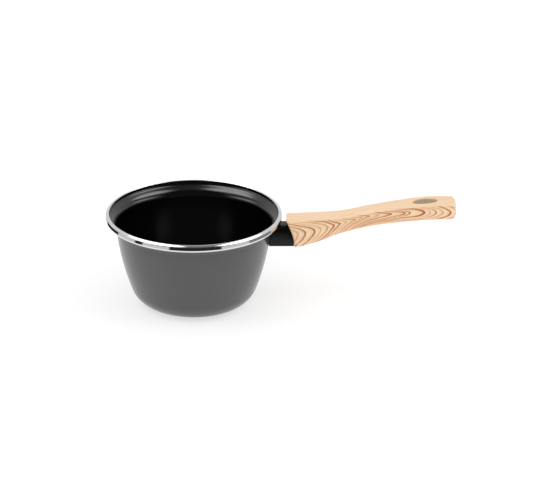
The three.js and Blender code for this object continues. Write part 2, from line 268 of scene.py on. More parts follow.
# Table: its corners, its tones and its own glow as seen and as it lights the pan, the distances where its
# round bright part ends, how much dimmer it is beyond, and dark bays there, each with the bearings where it
# starts and ends and how dark it is
FLOOR_LOW = (-900, -900)
FLOOR_HIGH = (1100, 900)
FLOOR_TONES = (0.47, 0.49)
FLOOR_GLOW = 0.63
BOUNCE_TONE = 0.8
BOUNCE_GLOW = 0.5
TABLE_EDGE = (0.205, 0.225)
BEYOND_DARK = 0.4
BAYS = (
    (-2.34, -1.78, 0.985),
    (-1.22, -1.07, 0.985),
    (-0.45, 0.54, 0.985),
    (1.19, 2.1, 0.78),
)
BAY_EDGE = 0.06
# Least value that a number is held at before something is divided by it
LEAST = 0.001

bend_height = PAN_HEIGHT - (SHEET + 2 * (BAND_SHEET + CLEARANCE) + BAND_SLACK) / 2
band_width = 2 * (PAN_HEIGHT - bend_height)
brow_end = CREST_TURN + BROW_TURN
brow_radius = (
    band_width
    - BAND_SHEET
    - HEM_RADIUS
    - CREST_RADIUS * math.sin(CREST_TURN)
    - BROW_EDGE * (1 - math.sin(brow_end))
) / (math.sin(brow_end) - math.sin(CREST_TURN))
face_length = (
    BAND_HEIGHT
    - BAND_SHEET
    - CREST_RADIUS * (1 - math.cos(CREST_TURN))
    - brow_radius * (math.cos(CREST_TURN) - math.cos(brow_end))
    - BROW_EDGE * math.cos(brow_end)
    - BELLY_RADIUS * math.sin(BELLY_TURN)
    - CURL_RADIUS * (1 - math.sin(BELLY_TURN))
)
edge_radius = RIM_RADIUS - band_width + BAND_SHEET + CLEARANCE + SHEET / 2
lip_reach = (
    SHOULDER_RADIUS * (math.cos(WALL_LEAN) - math.sin(LEDGE_ANGLE))
    + LEDGE_LENGTH * math.cos(LEDGE_ANGLE)
    + COVE_RADIUS * (1 - math.sin(LEDGE_ANGLE))
)
lip_rise = (
    SHOULDER_RADIUS * (math.cos(LEDGE_ANGLE) - math.sin(WALL_LEAN))
    + LEDGE_LENGTH * math.sin(LEDGE_ANGLE)
    + COVE_RADIUS * math.cos(LEDGE_ANGLE)
    + EDGE_HEIGHT
)
wall_middle = edge_radius - lip_reach
wall_top = bend_height - lip_rise
bow_centre_r = wall_middle - (WALL_BOW - SHEET / 2) * math.cos(WALL_LEAN)
bow_centre_z = wall_top + (WALL_BOW - SHEET / 2) * math.sin(WALL_LEAN)
corner_slope = math.asin((bow_centre_z - CORNER_RADIUS) / (WALL_BOW - CORNER_RADIUS))
base_radius = bow_centre_r + (WALL_BOW - CORNER_RADIUS) * math.cos(corner_slope)
guard_bottom = GUARD_TOP - GUARD_HEIGHT
front_depth = STATIONS[0][2]
face_foot = GUARD_TOP + STATIONS[0][1] - front_depth
face_centre_x = FRONT_X - math.sqrt(FACE_HOLLOW**2 - front_depth**2)
tail_x = FRONT_X + HANDLE_LENGTH


class Meridian:
    """A line of radius and height, drawn as lines and arcs that run on smoothly."""

    def __init__(self, r, z, heading):
        self.points = [(r, z, heading)]

    def line(self, length):
        r, z, heading = self.points[-1]
        self.points.append((r + length * math.cos(heading), z + length * math.sin(heading), heading))
        return self

    def arc(self, radius, turn, steps):
        """A positive turn goes left, towards the inside of the pan."""
        r, z, heading = self.points[-1]
        swing = math.copysign(radius, turn)
        for i in range(1, steps + 1):
            h = heading + turn * i / steps
            across = swing * (math.sin(h) - math.sin(heading))
            along = swing * (math.cos(h) - math.cos(heading))
            self.points.append((r + across, z - along, h))
        return self

    def side(self, distance):
        """The line moved sideways, left when the distance is positive."""
        return [
            (max(0, r - distance * math.sin(h)), z + distance * math.cos(h)) for r, z, h in self.points
        ]


def make_piece(name, points, faces, slot, materials, finishes=None, crease=CREASE):
    """A mesh piece from points in millimetres; finishes say which of its materials each face takes."""
    mesh = bpy.data.meshes.new(name)
    mesh.from_pydata([Vector(p) * MM for p in points], [], faces)
    piece = bpy.data.objects.new(name, mesh)
    bpy.context.scene.collection.objects.link(piece)
    for material in materials:
        mesh.materials.append(material)
    if finishes:
        mesh.polygons.foreach_set("material_index", finishes)
    smooth(mesh, crease)
    if slot:
        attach(piece, "root")
    return piece


def smooth(mesh, crease):
    """Shades a mesh smooth apart from edges sharper than the crease."""
    mesh.polygons.foreach_set("use_smooth", [True] * len(mesh.polygons))
    mesh.set_sharp_from_angle(angle=math.radians(crease))


def turned(outline, steps, closed=False):
    """Points and faces of an outline of radius and height turned about the pan's axis.

    An end that lies on the axis becomes one point. A closed outline runs back to its start.
    """
    points, faces, rows = [], [], []
    for r, z in outline:
        count = 1 if r < ON_AXIS else steps
        rows.append(range(len(points), len(points) + count))
        for k in range(count):
            angle = 2 * math.pi * k / count
            points.append((r * math.cos(angle), r * math.sin(angle), z))
    following = rows[1:] + rows[:1] if closed else rows[1:]
    for low, high in zip(rows, following):
        for k in range(steps):
            face = (
                low[k % len(low)],
                low[(k + 1) % len(low)],
                high[(k + 1) % len(high)],
                high[k % len(high)],
            )
            faces.append(list(dict.fromkeys(face)))
    return points, faces


def turned_about_screw(outline):
    """The same about the screw's axis."""
    points, faces = turned(outline, SCREW_STEPS)
    return [(x + SCREW_X, y, z) for x, y, z in points], faces


def loft(loops):
    """Points and faces of a closed skin over loops of equal count, each end drawn in to its middle."""
    count = len(loops[0])
    points = [p for loop in loops for p in loop]
    faces = []
    for i in range(len(loops) - 1):
        for k in range(count):
            m = (k + 1) % count
            faces.append((i * count + k, i * count + m, (i + 1) * count + m, (i + 1) * count + k))
    first = sum((Vector(p) for p in loops[0]), Vector()) / count
    last = sum((Vector(p) for p in loops[-1]), Vector()) / count
    points += [tuple(first), tuple(last)]
    base = (len(loops) - 1) * count
    for k in range(count):
        m = (k + 1) % count
        faces.append((m, k, len(points) - 2))
        faces.append((base + k, base + m, len(points) - 1))
    return points, faces


def block(low, high):
    """Points and faces of a block between two corners."""
    points = [(x, y, z) for x in (low[0], high[0]) for y in (low[1], high[1]) for z in (low[2], high[2])]
    faces = [(0, 1, 3, 2), (4, 6, 7, 5), (0, 4, 5, 1), (2, 3, 7, 6), (0, 2, 6, 4), (1, 5, 7, 3)]
    return points, faces


def cutter(shape, finish=0):
    """A shape to cut out, whose faces leave one finish on the piece."""
    points, faces = shape
    return points, faces, [finish] * len(faces)


def cut(piece, cutters, crease):
    """Cuts closed shapes, each points, faces and the finishes of its faces, out of a piece."""
    for i, (points, faces, finishes) in enumerate(cutters):
        tool = make_piece(f"cutter_{i}", points, faces, None, piece.data.materials, finishes)
        modifier = piece.modifiers.new("cut", "BOOLEAN")
        modifier.object = tool
        modifier.solver = "EXACT"
        shown = piece.evaluated_get(bpy.context.evaluated_depsgraph_get())
        mesh = bpy.data.meshes.new_from_object(shown)
        piece.modifiers.clear()
        old, piece.data = piece.data, mesh
        mesh.name = piece.name
        bpy.data.meshes.remove(old)
        bpy.data.objects.remove(tool)
    smooth(piece.data, crease)


def fillet(radius, steps, start=0):
    """How far a rounded edge stands in and along from its corner, at turns from the start to a quarter."""
    turns = [start + (QUARTER_TURN - start) * k / steps for k in range(steps + 1)]
    return [(radius * (1 - math.sin(turn)), radius * (1 - math.cos(turn))) for turn in turns]


def blended(knots, at):
    """Values at a place on smooth lines through knots, each a place followed by its values."""
    last = len(knots) - 2
    i = next((k for k in range(last) if at <= knots[k + 1][0]), last)
    width = knots[i + 1][0] - knots[i][0]
    t = (min(max(at, knots[0][0]), knots[-1][0]) - knots[i][0]) / width

    def slope(k, column):
        nearby = [j for j in (k - 1, k) if 0 <= j <= last]
        rises = [(knots[j + 1][column] - knots[j][column]) / (knots[j + 1][0] - knots[j][0]) for j in nearby]
        return sum(rises) / len(rises)

    values = []
    for column in range(1, len(knots[0])):
        a, b = knots[i][column], knots[i + 1][column]
        lead = (t**3 - 2 * t**2 + t) * width * slope(i, column)
        trail = (t**3 - t**2) * width * slope(i + 1, column)
        values.append((2 * t**3 - 3 * t**2 + 1) * a + lead + (3 * t**2 - 2 * t**3) * b + trail)
    return values


def eased(value, low, high):
    """A smooth step from 0 at the low value to 1 at the high one."""
    t = min(max((value - low) / (high - low), 0), 1)
    return t * t * (3 - 2 * t)


class Nodes:
    """Adds shader nodes, whose settings and inputs are given by name."""

    def __init__(self, tree):
        self.tree = tree
        tree.nodes.clear()

    def feed(self, socket, value):
        if isinstance(value, bpy.types.NodeSocket):
            self.tree.links.new(value, socket)
        else:
            socket.default_value = value

    def add(self, kind, inputs=None, **settings):
        node = self.tree.nodes.new(kind)
        for key, value in settings.items():
            setattr(node, key, value)
        for key, value in (inputs or {}).items():
            self.feed(node.inputs[key], value)
        return node

    def place(self):
        """Where a point lies in the object's own frame."""
        return self.add("ShaderNodeTexCoord").outputs["Object"]

    def math(self, operation, *values, clamp=False):
        inputs = dict(enumerate(values))
        return self.add("ShaderNodeMath", inputs, operation=operation, use_clamp=clamp).outputs[0]

    def split(self, vector):
        return self.add("ShaderNodeSeparateXYZ", {0: vector}).outputs

    def joined(self, x, y):
        return self.add("ShaderNodeCombineXYZ", {0: x, 1: y}).outputs[0]

    def scaled(self, vector, scale):
        inputs = {0: vector, 1: scale}
        return self.add("ShaderNodeVectorMath", inputs, operation="MULTIPLY").outputs[0]

    def length(self, vector):
        return self.add("ShaderNodeVectorMath", {0: vector}, operation="LENGTH").outputs["Value"]

    def noise(self, vector, scale, detail=2.0, roughness=0.5):
        inputs = {"Vector": vector, "Scale": scale, "Detail": detail, "Roughness": roughness}
        return self.add("ShaderNodeTexNoise", inputs).outputs["Fac"]

    def ranged(self, value, low, high, to_low, to_high, kind="LINEAR"):
        inputs = {"Value": value, "From Min": low, "From Max": high, "To Min": to_low, "To Max": to_high}
        return self.add("ShaderNodeMapRange", inputs, interpolation_type=kind).outputs[0]

    def stepped(self, value, low, high, to_low=0, to_high=1):
        """A smooth step from one level to another between two values."""
        return self.ranged(value, low, high, to_low, to_high, "SMOOTHSTEP")

    def spread(self, noise, low, high):
        """A noise's usual values spread from low to high."""
        return self.ranged(noise, *NOISE_SPAN, low, high)

    def between(self, share, first, second):
        """A value the given share of the way from the first to the second."""
        left = self.math("MULTIPLY", self.math("SUBTRACT", 1.0, share), first)
        return self.math("ADD", left, self.math("MULTIPLY", share, second))

    def mixed(self, factor, first, second):
        """A colour between two others."""
        node = self.add("ShaderNodeMix", data_type="RGBA")
        sockets = {socket.identifier: socket for socket in node.inputs}
        self.feed(sockets["Factor_Float"], factor)
        self.feed(sockets["A_Color"], first)
        self.feed(sockets["B_Color"], second)
        return next(socket for socket in node.outputs if socket.identifier == "Result_Color")

    def bump(self, height, strength, distance):
        inputs = {"Height": height, "Strength": strength, "Distance": distance}
        return self.add("ShaderNodeBump", inputs).outputs[0]

    def surface(self, **inputs):
        """A principled surface on the material's output; names use _ for spaces."""
        named = {key.replace("_", " "): value for key, value in inputs.items()}
        shader = self.add("ShaderNodeBsdfPrincipled", named)
        self.add("ShaderNodeOutputMaterial", {"Surface": shader.outputs[0]})


def new_material(name):
    material = bpy.data.materials.new(name)
    material.use_nodes = True
    return material, Nodes(material.node_tree)


def enamel_material():
    """Grey enamel: a gloss coat with a slight orange peel and soft shifts of tone."""
    material, nodes = new_material("grey_enamel")
    place = nodes.place()
    tone = nodes.noise(place, scale=22, detail=3)
    fleck = nodes.ranged(nodes.noise(place, scale=2600, detail=1), 0.62, 0.75, 0, 0.35)
    shade = nodes.mixed(tone, (0.039, 0.039, 0.042, 1), (0.049, 0.049, 0.053, 1))
    colour = nodes.mixed(fleck, shade, (0.075, 0.075, 0.08, 1))
    peel = nodes.bump(nodes.noise(place, scale=420), strength=0.10, distance=0.0004)
    rough = nodes.spread(nodes.noise(place, scale=60, detail=3), 0.16, 0.24)
    nodes.surface(Base_Color=colour, Roughness=rough, IOR=1.68, Normal=peel)
    return material


def nonstick_material():
    """Black non-stick coat: satin, with a fine sprayed grain."""
    material, nodes = new_material("black_nonstick")
    place = nodes.place()
    fleck = nodes.ranged(nodes.noise(place, scale=3200, detail=1), 0.66, 0.78, 0, 0.3)
    colour = nodes.mixed(fleck, (0.001, 0.001, 0.0012, 1), (0.006, 0.006, 0.0065, 1))
    spray = nodes.bump(nodes.noise(place, scale=1500), strength=0.05, distance=0.0002)
    rough = nodes.spread(nodes.noise(place, scale=90, detail=3), 0.15, 0.19)
    nodes.surface(Base_Color=colour, Roughness=rough, IOR=1.6, Normal=spray)
    return material


def polished_material():
    """Polished stainless steel, with fine lines left round the rim by polishing."""
    material, nodes = new_material("polished_steel")
    place = nodes.place()
    height = nodes.split(place)["Z"]
    radius = nodes.length(nodes.scaled(place, (1, 1, 0)))
    lines = nodes.noise(nodes.joined(radius, height), scale=9000)
    smear = nodes.noise(place, scale=35)
    dulled = nodes.ranged(smear, 0.4, 0.7, 0, 0.03)
    rough = nodes.math("ADD", nodes.spread(lines, 0.05, 0.09), dulled)
    tint = nodes.mixed(smear, (0.76, 0.76, 0.77, 1), (0.84, 0.84, 0.85, 1))
    nodes.surface(Base_Color=tint, Metallic=1.0, Roughness=rough)
    return material


def guard_material():
    """Black heat-resistant plastic with a faint moulded texture."""
    material, nodes = new_material("black_plastic")
    place = nodes.place()
    cloud = nodes.noise(place, scale=120, detail=3)
    tone = nodes.mixed(cloud, (0.0025, 0.0025, 0.003, 1), (0.004, 0.004, 0.0045, 1))
    grain = nodes.bump(nodes.noise(place, scale=1800), strength=0.12, distance=0.0002)
    rough = nodes.spread(nodes.noise(place, scale=200, detail=3), 0.13, 0.18)
    nodes.surface(Base_Color=tone, Roughness=rough, IOR=1.3, Normal=grain)
    return material


def zinc_material():
    """Zinc-plated steel, softly mottled."""
    material, nodes = new_material("plated_steel")
    place = nodes.place()
    mottle = nodes.noise(place, scale=500, detail=3)
    tone = nodes.mixed(mottle, (0.5, 0.5, 0.48, 1), (0.66, 0.66, 0.65, 1))
    rough = nodes.spread(nodes.noise(place, scale=900, detail=3), 0.26, 0.42)
    drawn = nodes.scaled(place, (1, 8, 1))
    scratch = nodes.bump(nodes.noise(drawn, scale=1200), strength=0.1, distance=0.0001)
    nodes.surface(Base_Color=tone, Metallic=1.0, Roughness=rough, Normal=scratch)
    return material


def wood_material():
    """Printed wood under a satin coat: pointed rings on the sides, faint streaks above and below."""
    material, nodes = new_material("wood_effect")
    coordinates = nodes.add("ShaderNodeTexCoord")
    place = coordinates.outputs["Object"]
    facing = nodes.split(coordinates.outputs["Normal"])["Y"]
    side = nodes.stepped(nodes.math("ABSOLUTE", facing), 0.30, 0.80)
    drawn = nodes.scaled(place, (0.12, 1, 1))
    ring, ink, pitch = (
        nodes.add("ShaderNodeAttribute", attribute_name=name).outputs["Fac"]
        for name in ("ring", "ink", "pitch")
    )
    waver = nodes.ranged(nodes.noise(drawn, scale=260, detail=3, roughness=0.6), 0, 1, -0.9, 0.9)
    step = nodes.math("FRACT", nodes.math("ADD", ring, nodes.math("MULTIPLY", waver, pitch)))
    crowd = nodes.math("SQRT", nodes.math("MAXIMUM", nodes.math("MULTIPLY", pitch, RING_PITCH), LEAST))
    before = nodes.math("DIVIDE", nodes.math("SUBTRACT", 1.0, step), crowd)

    def ring_line(start, peak, end, strength):
        """A line along every ring, by its distances in millimetres before the ring's edge.

        Crowded rings thin it.
        """
        lead = nodes.stepped(before, start, peak)
        trail = nodes.stepped(before, peak, end, strength, 0)
        return nodes.math("MULTIPLY", nodes.math("MULTIPLY", lead, trail), side)

    patchy = nodes.ranged(nodes.noise(drawn, scale=70), 0.35, 0.65, 0.8, 1.0)
    thinned = nodes.math("DIVIDE", RING_PITCH, crowd, clamp=True)
    printed = nodes.math("MULTIPLY", nodes.math("MULTIPLY", ink, patchy), thinned)
    dark = nodes.math("MULTIPLY", ring_line(*DARK_LINE), printed, clamp=True)
    fine = nodes.math("MAXIMUM", *(ring_line(*line) for line in FINE_LINES))
    glow = nodes.math("MULTIPLY", ring_line(*GLOW_LINE), ink)
    faint = nodes.math("MAXIMUM", nodes.math("MULTIPLY", fine, patchy), glow)
    ash = ring_line(*ASH_LINE)
    streak = nodes.noise(nodes.scaled(place, (0.03, 1, 0.6)), scale=520, detail=3, roughness=0.6)
    streaked = nodes.ranged(streak, 0.35, 0.65, 0, 1)
    pale = nodes.mixed(streaked, (0.90, 0.61, 0.38, 1), (0.98, 0.72, 0.475, 1))
    body = nodes.mixed(ash, pale, (0.80, 0.67, 0.46, 1))
    lined = nodes.mixed(faint, body, (0.72, 0.33, 0.13, 1))
    colour = nodes.mixed(dark, lined, (0.40, 0.11, 0.018, 1))
    rough = nodes.spread(streak, 0.30, 0.42)
    pores = nodes.noise(nodes.scaled(place, (0.15, 1, 1)), scale=1500)
    skin = nodes.bump(pores, strength=0.08, distance=0.0002)
    nodes.surface(Base_Color=colour, Roughness=rough, Normal=skin)
    return material


def core_and_shade_material():
    """The moulded plastic under the print, bare in the handle's holes; its tone, darker and duller than the
    print, is partly painted shade inside the hanging hole.
    """
    material, nodes = new_material("bare_plastic_and_painted_shade")
    place = nodes.place()
    cloud = nodes.noise(place, scale=300, detail=3)
    # Tones darker than the print: the unprinted core, and partly painted shade inside the hanging hole
    tone = nodes.mixed(cloud, (0.50, 0.42, 0.29, 1), (0.58, 0.49, 0.36, 1))
    rough = nodes.spread(nodes.noise(place, scale=700), 0.42, 0.55)
    nodes.surface(Base_Color=tone, Roughness=rough)
    return material


def studio_bearing(nodes, across, ahead):
    """How far a direction or a place lies round to the right from the front of the studio, in radians."""
    return nodes.math("ARCTAN2", across, nodes.math("MULTIPLY", ahead, -1.0))


def floor_material():
    """A pale table, white to the camera where no shadow falls and open from below.

    Its reflection is white near the pan and falls off into dark bays beyond.
    """
    material, nodes = new_material("pale_floor")
    path = nodes.add("ShaderNodeLightPath").outputs
    place = nodes.place()
    across, ahead, _ = nodes.split(place)
    bearing = studio_bearing(nodes, across, ahead)
    darkness = BEYOND_DARK
    for start, end, dark in BAYS:
        opens = nodes.stepped(bearing, start - BAY_EDGE, start)
        closes = nodes.stepped(bearing, end, end + BAY_EDGE, dark, 0)
        darkness = nodes.math("MAXIMUM", darkness, nodes.math("MULTIPLY", opens, closes))
    beyond = nodes.stepped(nodes.length(place), *TABLE_EDGE)
    dim = nodes.math("MULTIPLY", nodes.math("MULTIPLY", darkness, beyond), path["Is Glossy Ray"])
    bright = nodes.math("SUBTRACT", 1.0, dim)
    tone = nodes.ranged(nodes.noise(place, scale=5), 0, 1, *FLOOR_TONES)
    level = nodes.math("MULTIPLY", tone, bright)
    shade = nodes.add("ShaderNodeCombineColor", {0: level, 1: level, 2: level}).outputs[0]

    def glowing(colour, glow):
        matt = nodes.add("ShaderNodeBsdfDiffuse", {"Color": colour}).outputs[0]
        light = nodes.add("ShaderNodeEmission", {"Strength": glow}).outputs[0]
        return nodes.add("ShaderNodeAddShader", {0: matt, 1: light}).outputs[0]

    seen = glowing(shade, nodes.math("MULTIPLY", bright, FLOOR_GLOW))
    bounce = glowing((BOUNCE_TONE, BOUNCE_TONE, BOUNCE_TONE, 1), BOUNCE_GLOW)
    direct = nodes.math("MAXIMUM", path["Is Camera Ray"], path["Is Glossy Ray"])
    above = nodes.add("ShaderNodeMixShader", {0: direct, 1: bounce, 2: seen}).outputs[0]
    below = nodes.add("ShaderNodeBsdfTransparent").outputs[0]
    back = nodes.add("ShaderNodeNewGeometry").outputs["Backfacing"]
    shader = nodes.add("ShaderNodeMixShader", {0: back, 1: above, 2: below})
    nodes.add("ShaderNodeOutputMaterial", {"Surface": shader.outputs[0]})
    return material


def pan_line():
    """The middle of the pan's sheet, from the centre of the base to its upturned edge."""
    return (
        Meridian(0, SHEET / 2, 0)
        .line(base_radius - BASE_HOLD)
        .line(BASE_HOLD)
        .arc(CORNER_RADIUS - SHEET / 2, QUARTER_TURN - corner_slope, steps=40)
        .arc(WALL_BOW - SHEET / 2, corner_slope - WALL_LEAN, steps=32)
        .arc(SHOULDER_RADIUS, LEDGE_ANGLE + WALL_LEAN - QUARTER_TURN, steps=14)
        .line(LEDGE_LENGTH)
        .arc(COVE_RADIUS, QUARTER_TURN - LEDGE_ANGLE, steps=12)
        .line(EDGE_HEIGHT)
    )


def wall_radius(z):
    """Radius of the wall's outer face at a height between the corner and the ledge."""
    if z < wall_top:
        return bow_centre_r + math.sqrt(WALL_BOW**2 - (bow_centre_z - z) ** 2)
    flare_centre_r = wall_middle + SHOULDER_RADIUS * math.cos(WALL_LEAN)
    flare_centre_z = wall_top - SHOULDER_RADIUS * math.sin(WALL_LEAN)
    return flare_centre_r - math.sqrt((SHOULDER_RADIUS - SHEET / 2) ** 2 - (z - flare_centre_z) ** 2)


def make_pan(enamel, nonstick):
    """The pan: one turned sheet, enamelled outside and coated inside."""
    line = pan_line()
    outside = line.side(-SHEET / 2)
    inside = line.side(SHEET / 2)[::-1]
    points, faces = turned(outside + inside, PAN_STEPS)
    finishes = [int(k // PAN_STEPS >= len(outside)) for k in range(len(faces))]
    piece = make_piece("pan_body", points, faces, "grey_enamel", [enamel, nonstick], finishes)
    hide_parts("pan_shell")


def make_band(steel):
    """The rim band: up inside the pan's edge, over it, down outside in a bead and in under itself."""
    lap_bottom = bend_height - BAND_LAP
    strip = (
        Meridian(RIM_RADIUS - band_width + BAND_SHEET / 2, lap_bottom, QUARTER_TURN)
        .line(PAN_HEIGHT - BAND_SHEET / 2 - HEM_RADIUS - lap_bottom)
        .arc(HEM_RADIUS, -QUARTER_TURN, steps=8)
        .arc(CREST_RADIUS, -CREST_TURN, steps=8)
        .arc(brow_radius, -BROW_TURN, steps=10)
        .arc(BROW_EDGE, brow_end - QUARTER_TURN, steps=10)
        .line(face_length)
        .arc(BELLY_RADIUS, -BELLY_TURN, steps=12)
        .arc(CURL_RADIUS, -CURL_TURN, steps=8)
    )
    outline = strip.side(-BAND_SHEET / 2) + strip.side(BAND_SHEET / 2)[::-1]
    points, faces = turned(outline, BAND_STEPS, closed=True)
    piece = make_piece("rim_ring", points, faces, "polished_steel", [steel], crease=BAND_CREASE)
    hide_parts("rim_band")


def rounded(corners, steps):
    """A closed outline with each corner, a point and its radius, rounded off."""
    outline = []
    count = len(corners)
    for i, (x, y, radius) in enumerate(corners):
        here = Vector((x, y))
        back = (Vector(corners[i - 1][:2]) - here).normalized()
        ahead = (Vector(corners[(i + 1) % count][:2]) - here).normalized()
        half = math.acos(max(-1, min(1, back.dot(ahead)))) / 2
        reach = radius / math.tan(half)
        centre = here + (back + ahead).normalized() * radius / math.sin(half)
        start = (here + back * reach) - centre
        end = (here + ahead * reach) - centre
        sweep = start.angle_signed(end)
        for k in range(steps + 1):
            turn = Matrix.Rotation(-sweep * k / steps, 2)
            outline.append(tuple(centre + turn @ start))
    return outline


def face_x(z):
    """The handle's hollow front face: upright at its foot, leaning over the neck above."""
    return face_centre_x + math.sqrt(FACE_HOLLOW**2 - (z - face_foot) ** 2)


def tang_room(end):
    """Points and faces of the room for the tang, as far out as the end."""
    half = TANG_WIDTH / 2 + CLEARANCE
    return block((0, -half, TANG_BOTTOM - CLEARANCE), (end, half, TANG_TOP + CLEARANCE))


def make_guard(plastic):
    """The neck: loops from the wall's curve to the handle's hollow face, hollowed for the bracket."""
    half = GUARD_WIDTH / 2
    outline = rounded(
        [
            (half - BEVEL_DEPTH, guard_bottom, BEVEL_EDGE),
            (half, guard_bottom + BEVEL_HEIGHT, BEVEL_EDGE),
            (half, GUARD_TOP, GUARD_EDGE),
            (-half, GUARD_TOP, GUARD_EDGE),
            (-half, guard_bottom + BEVEL_HEIGHT, BEVEL_EDGE),
            (-half + BEVEL_DEPTH, guard_bottom, BEVEL_EDGE),
        ],
        GUARD_CORNER_STEPS,
    )
    middle_z = (guard_bottom + GUARD_TOP) / 2

    def inset(distance):
        across, up = 1 - distance / half, 1 - distance / (GUARD_HEIGHT / 2)
        return [(y * across, middle_z + (z - middle_z) * up) for y, z in outline]

    def start_x(y, z):
        return math.sqrt((wall_radius(z) + CLEARANCE) ** 2 - y**2)

    def end_x(z):
        return face_x(z) - CLEARANCE

    edge = fillet(END_EDGE, END_EDGE_STEPS)
    loops = [[(start_x(y, z), y, z) for y, z in inset(cap)] for cap in GUARD_CAPS]
    loops += [[(start_x(y, z) + along, y, z) for y, z in inset(inward)] for inward, along in edge]
    for share in GUARD_SHARES:
        loops.append([(start_x(y, z) * (1 - share) + face_x(z) * share, y, z) for y, z in inset(0)])
    loops += [[(end_x(z) - along, y, z) for y, z in inset(inward)] for inward, along in reversed(edge)]
    loops += [[(end_x(z), y, z) for y, z in inset(cap)] for cap in reversed(GUARD_CAPS)]
    points, faces = loft(loops)
    piece = make_piece("neck_guard", points, faces, "black_plastic", [plastic])
    low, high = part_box("handle_bracket")
    pocket_x = wall_radius(TANG_TOP) + FOOT_ROOM + CLEARANCE
    pocket_y = high.y / MM + CLEARANCE
    pocket = block((0, -pocket_y, low.z / MM - CLEARANCE), (pocket_x, pocket_y, TANG_TOP + CLEARANCE))
    cut(piece, [cutter(tang_room(tail_x)), cutter(pocket)], CREASE)
    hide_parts("flame_guard")


def squared_oval(count):
    """Points spread evenly round a squared oval that fits a square from -1 to 1."""
    fine = []
    for k in range(OVAL_SAMPLES):
        angle = 2 * math.pi * k / OVAL_SAMPLES
        fine.append(
            tuple(math.copysign(abs(v) ** (2 / SQUARENESS), v) for v in (math.cos(angle), math.sin(angle)))
        )
    lengths = [0]
    for k, (y, z) in enumerate(fine):
        ny, nz = fine[(k + 1) % len(fine)]
        lengths.append(lengths[-1] + math.hypot(ny - y, nz - z))
    picked, k = [], 0
    for i in range(count):
        while lengths[k] < lengths[-1] * i / count:
            k += 1
        picked.append(fine[k % len(fine)])
    return picked


def grip_loop(at, inset, section):
    """The handle's section at a distance from its front, made smaller by an inset."""
    top, depth, width = blended(STATIONS, at)
    top += GUARD_TOP
    lean = 1 - eased(at, 0, LEAN_END)
    loop = []
    for side, up in section:
        z = top - depth / 2 + up * (depth / 2 - inset)
        loop.append((FRONT_X + at + lean * (face_x(z) - FRONT_X), side * (width / 2 - inset), z))
    return loop


def grip_body():
    """The handle before it is cut, with the finish of each face: bare in front, in the core's darker tone
    that is partly painted shade, and printed elsewhere.
    """
    section = squared_oval(GRIP_STEPS)
    half = STATIONS[0][3] / 2
    places = [(0, half - share * (half - FRONT_EDGE)) for share in FRONT_CAPS]
    bare_and_shaded = len(places) * len(section)
    places += [(along, inward) for inward, along in fillet(FRONT_EDGE, EDGE_STEPS)[:-1]]
    straight = HANDLE_LENGTH - FRONT_EDGE - TAIL_EDGE
    places += [(FRONT_EDGE + straight * k / LENGTH_STEPS, 0) for k in range(LENGTH_STEPS + 1)]
    tail = reversed(fillet(TAIL_EDGE, EDGE_STEPS)[:-1])
    places += [(HANDLE_LENGTH - along, inward) for inward, along in tail]
    places += [(HANDLE_LENGTH, inset) for inset in TAIL_CAPS]
    points, faces = loft([grip_loop(at, inset, section) for at, inset in places])
    caps = len(faces) - 2 * len(section)
    finishes = [int(k < bare_and_shaded or (k >= caps and (k - caps) % 2 == 0)) for k in range(len(faces))]
    return points, faces, finishes


def hole_cutter():
    """The hanging hole, flared at both faces so that its edges come out rounded."""
    centre = tail_x - HOLE_FROM_TAIL
    edge = fillet(HOLE_EDGE, EDGE_STEPS, FLARE_ANGLE)
    outward, sunk = edge[0]
    flare = [(outward + FLARE_RISE / math.tan(FLARE_ANGLE), sunk - FLARE_RISE), *edge]

    def ring(grow, depth, from_top):
        loop = []
        for k in range(HOLE_STEPS):
            angle = 2 * math.pi * k / HOLE_STEPS
            x = centre + (HOLE_LENGTH / 2 + grow) * math.cos(angle)
            y = (HOLE_WIDTH / 2 + grow) * math.sin(angle)
            top, thick, _ = blended(STATIONS, x - FRONT_X)
            top += GUARD_TOP
            loop.append((x, y, top - depth if from_top else top - thick + depth))
        return loop

    loops = [ring(grow, depth, False) for grow, depth in flare]
    loops += [ring(grow, depth, True) for grow, depth in reversed(flare)]
    points, faces = loft(loops)
    # Faces of the hole's wall take the bare core's darker tone, which is partly painted shade
    wall, bare_and_shaded = len(flare) - 1, len(flare) // 2 - 1
    return points, faces, [int(abs(k // HOLE_STEPS - wall) <= bare_and_shaded) for k in range(len(faces))]


def ring_at(x, z):
    """How many rings of the grain lie before a place on the handle's side, and the next one's strength."""
    at = min(max(x - FRONT_X, 0), HANDLE_LENGTH)
    top, depth, _ = blended(STATIONS, at)
    share, above, below, power = blended(GRAIN, at)
    offset = z - (GUARD_TOP + top - depth * (1 - share))
    arm = above if offset > 0 else below
    place = at + arm * abs(offset) ** power
    for i in range(len(RINGS) - 1):
        start, end = RINGS[i][0], RINGS[i + 1][0]
        if place < end:
            return i + max((place - start) / (end - start), 0), RINGS[i + 1][1]
    return len(RINGS) - 1, RINGS[-1][1]


def grain_at(x, z):
    """The grain's ring and ink at a place, and how many rings it crosses there in a millimetre."""
    ring, ink = ring_at(x, z)
    along = ring_at(x + GRAIN_PROBE, z)[0] - ring_at(x - GRAIN_PROBE, z)[0]
    up = ring_at(x, z + GRAIN_PROBE)[0] - ring_at(x, z - GRAIN_PROBE)[0]
    return ring, ink, math.hypot(along, up) / (2 * GRAIN_PROBE)


